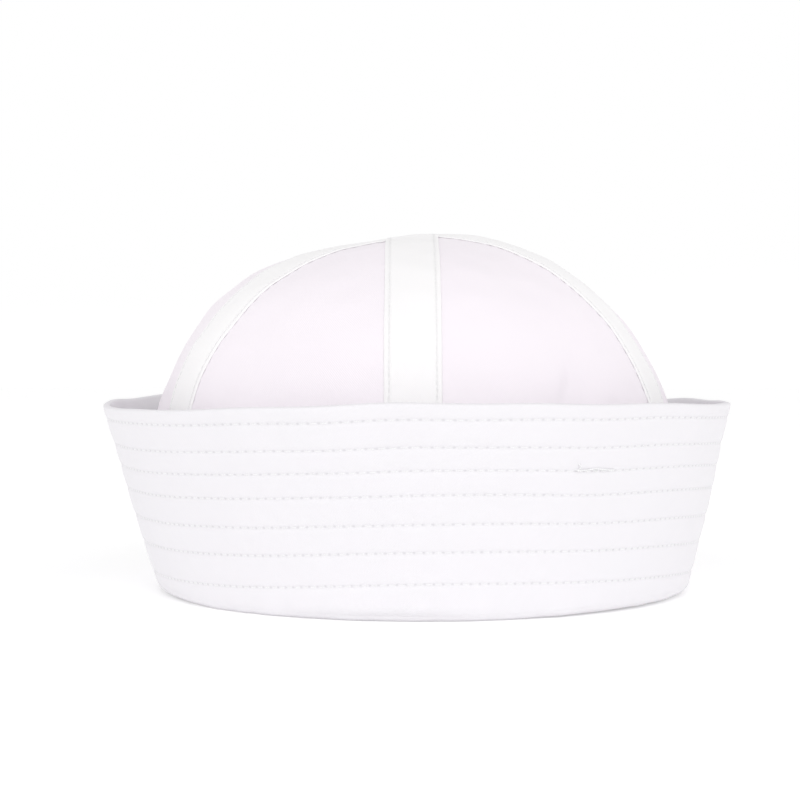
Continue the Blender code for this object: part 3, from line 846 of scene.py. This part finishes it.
def brim_stitch_ends(bearings, drops, outer, reach):
    """Starts, ends and outward directions of stitches that are centred at these places."""
    spread = reach * STITCH_TURN
    seat, ahead = 0.00003, 0.001
    starts = brim_place(bearings - spread, *brim_face(bearings - spread, drops, outer, seat))
    ends = brim_place(bearings + spread, *brim_face(bearings + spread, drops, outer, seat))
    above = brim_place(bearings, *brim_face(bearings, drops, outer, seat + ahead))
    above = above - brim_place(bearings, *brim_face(bearings, drops, outer, seat))
    return starts, ends, above / np.linalg.norm(above, axis=1, keepdims=True)


stitch_bearings = np.tile((np.arange(BRIM_STITCHES) + 0.5) * STITCH_TURN, len(ROW_DROPS))
stitch_drops = np.repeat(ROW_DROPS, BRIM_STITCHES)
for side_name, is_outer in (("outer", True), ("inner", False)):
    stitches = brim_stitch_ends(stitch_bearings, stitch_drops, is_outer, reach=0.36)
    add_stitches("stitches_brim_" + side_name, *stitches, thickness=0.00034, arch=0.00010,
                 slot="quilted_cotton")


# Where the third row was begun and ended, on the right of the front, the machine sewed back over a few
# stitches. The cut end of the cotton thread was left there: it lies along the row and curls up.

BACK_SEWN_BEARING, BACK_SEWN_RISE, BACK_STITCHES = 25.6, 0.00045, 4
THREAD_END_BEARING, THREAD_END_SWEEP, THREAD_END_THICKNESS = 33.0, 7.8, 0.00040
CURL_FROM = 0.8

back_bearings = BACK_SEWN_BEARING + np.arange(BACK_STITCHES) * STITCH_TURN
back_drops = np.full(BACK_STITCHES, ROW_DROPS[2] - BACK_SEWN_RISE)
back_stitches = brim_stitch_ends(back_bearings, back_drops, True, reach=0.40)
add_stitches("stitches_brim_overlap", *back_stitches, thickness=0.00036, arch=0.00016,
             slot="quilted_cotton")


def add_thread(name, path, thickness):
    """A loose thread along a path of points."""
    sides = 8
    along = np.gradient(path, axis=0)
    along /= np.linalg.norm(along, axis=1, keepdims=True)
    across = np.cross(along, np.array([0.0, -1.0, 0.2]))
    across /= np.linalg.norm(across, axis=1, keepdims=True)
    above = np.cross(across, along)
    turns = 2 * np.pi * np.arange(sides) / sides
    rings = across[:, None] * np.cos(turns)[:, None] + above[:, None] * np.sin(turns)[:, None]
    lengths = np.concatenate(([0.0], np.cumsum(np.linalg.norm(np.diff(path, axis=0), axis=1))))
    flat = np.stack(np.broadcast_arrays(lengths[:, None], np.arange(sides + 1) / sides), axis=-1)
    points = path[:, None] + rings * thickness / 2
    thread = add_grid(name, points, flat, cotton_thread, round_columns=True, ends=True)
    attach(thread, "root")


along = np.linspace(0, 1, 49)
lying = np.minimum(along / CURL_FROM, 1.0)
curl = np.maximum(along - CURL_FROM, 0.0) / (1 - CURL_FROM)
thread_bearings = THREAD_END_BEARING - THREAD_END_SWEEP * lying + 0.5 * np.sin(np.pi * curl)
thread_drops = ROW_DROPS[2] - 0.0003 - 0.0007 * np.sin(np.pi * lying) ** 2 - 0.0026 * curl
thread_lift = 0.0002 + 0.0003 * np.sin(np.pi * along * 2.2) ** 2 + 0.0008 * curl
thread_path = brim_place(thread_bearings, *brim_face(thread_bearings, thread_drops, True, thread_lift))
add_thread("thread_end_brim", thread_path, THREAD_END_THICKNESS)


# The floor is a plain wide sheet of matt white paper, on which the cap stands loose. It is lit to pure
# white, apart from the soft shade close to the brim.

FLOOR_RADIUS = 3.0

floor_mesh = bpy.data.meshes.new("floor")
floor_turns = np.radians(np.arange(0, 360, 5))
floor_edge = [(FLOOR_RADIUS * math.cos(turn), FLOOR_RADIUS * math.sin(turn), 0.0) for turn in floor_turns]
floor_mesh.from_pydata(floor_edge, [], [list(range(len(floor_edge)))])
floor = bpy.data.objects.new("floor", floor_mesh)
bpy.context.scene.collection.objects.link(floor)

paper = bpy.data.materials.new("white_paper")
paper.use_nodes = True
paper_shader = paper.node_tree.nodes["Principled BSDF"]
paper_shader.inputs["Specular IOR Level"].default_value = 0.1
paper_shader.inputs["Emission Color"].default_value = (1.0, 1.0, 1.0, 1.0)
paper_shader.inputs["Emission Strength"].default_value = 0.19
paper_grain = paper.node_tree.nodes.new("ShaderNodeTexNoise")
paper_grain.inputs["Scale"].default_value = 90.0
paper_colour = mix_colours(
    paper.node_tree, paper_grain.outputs[0], (0.95, 0.95, 0.95, 1), (0.93, 0.93, 0.93, 1)
)
paper_roughness = math_node(paper.node_tree, "MULTIPLY_ADD", paper_grain.outputs[0], 0.1, 0.85)
paper.node_tree.links.new(paper_colour, paper_shader.inputs["Base Color"])
paper.node_tree.links.new(paper_roughness, paper_shader.inputs["Roughness"])
floor_mesh.materials.append(paper)


# The studio is bright all round, most from the front and less from straight above. A wide lamp in front
# and a weaker one on the left add soft light. The camera sees the studio's walls as plain white.

SKY_LEVEL, SKY_FROM_RIGHT, SKY_FROM_FRONT, SKY_FROM_ABOVE = 1.22, 0.03, 0.21, -0.55

studio = bpy.data.worlds.new("studio")
studio.use_nodes = True
bpy.context.scene.world = studio
sky = studio.node_tree
sky_light = sky.nodes["Background"]
direction = sky.nodes.new("ShaderNodeTexCoord")
direction_parts = sky.nodes.new("ShaderNodeSeparateXYZ")
sky.links.new(direction.outputs["Generated"], direction_parts.inputs[0])
sky_amount = math_node(sky, "MULTIPLY_ADD", direction_parts.outputs[0], SKY_FROM_RIGHT, SKY_LEVEL)
sky_amount = math_node(sky, "MULTIPLY_ADD", direction_parts.outputs[1], -SKY_FROM_FRONT, sky_amount)
sky_amount = math_node(sky, "MULTIPLY_ADD", direction_parts.outputs[2], SKY_FROM_ABOVE, sky_amount)
seen_by_camera = sky.nodes.new("ShaderNodeLightPath")
sky_strength = math_node(sky, "MAXIMUM", sky_amount, seen_by_camera.outputs["Is Camera Ray"])
sky.links.new(sky_strength, sky_light.inputs["Strength"])
sky_light.inputs["Color"].default_value = (1.0, 1.0, 1.0, 1.0)


def add_soft_light(name, place, size, power):
    """A square lamp of this size, turned towards the middle of the cap."""
    lamp_data = bpy.data.lights.new(name, "AREA")
    lamp_data.shape = "SQUARE"
    lamp_data.size = size
    lamp_data.energy = power
    lamp = bpy.data.objects.new(name, lamp_data)
    lamp.location = place
    toward = Vector((0.0, 0.0, 0.07)) - Vector(place)
    lamp.rotation_euler = toward.to_track_quat("-Z", "Y").to_euler()
    bpy.context.scene.collection.objects.link(lamp)


add_soft_light("key_light", (0.5, -2.1, 1.3), size=2.0, power=7.1)
add_soft_light("fill_light", (-1.9, -1.0, 1.0), size=1.8, power=2.0)


# The camera stands in front of the cap, a little above the height of its rim, and looks slightly down at
# the middle of the brim and crown together. Colours are shown as they are, with no film look.

CAMERA_ASIDE, CAMERA_DISTANCE, CAMERA_HEIGHT, AIM_HEIGHT = -0.0062, 0.824, 0.095, 0.0696

bpy.context.scene.view_settings.view_transform = "Standard"
camera_data = bpy.data.cameras.new("camera")
camera_data.lens = 99.0
camera_data.sensor_width = 36.0
camera = bpy.data.objects.new("camera", camera_data)
camera.location = (CAMERA_ASIDE, -CAMERA_DISTANCE, CAMERA_HEIGHT)
aim = Vector((CAMERA_ASIDE, 0.0, AIM_HEIGHT)) - camera.location
camera.rotation_euler = aim.to_track_quat("-Z", "Y").to_euler()
bpy.context.scene.collection.objects.link(camera)
bpy.context.scene.camera = camera
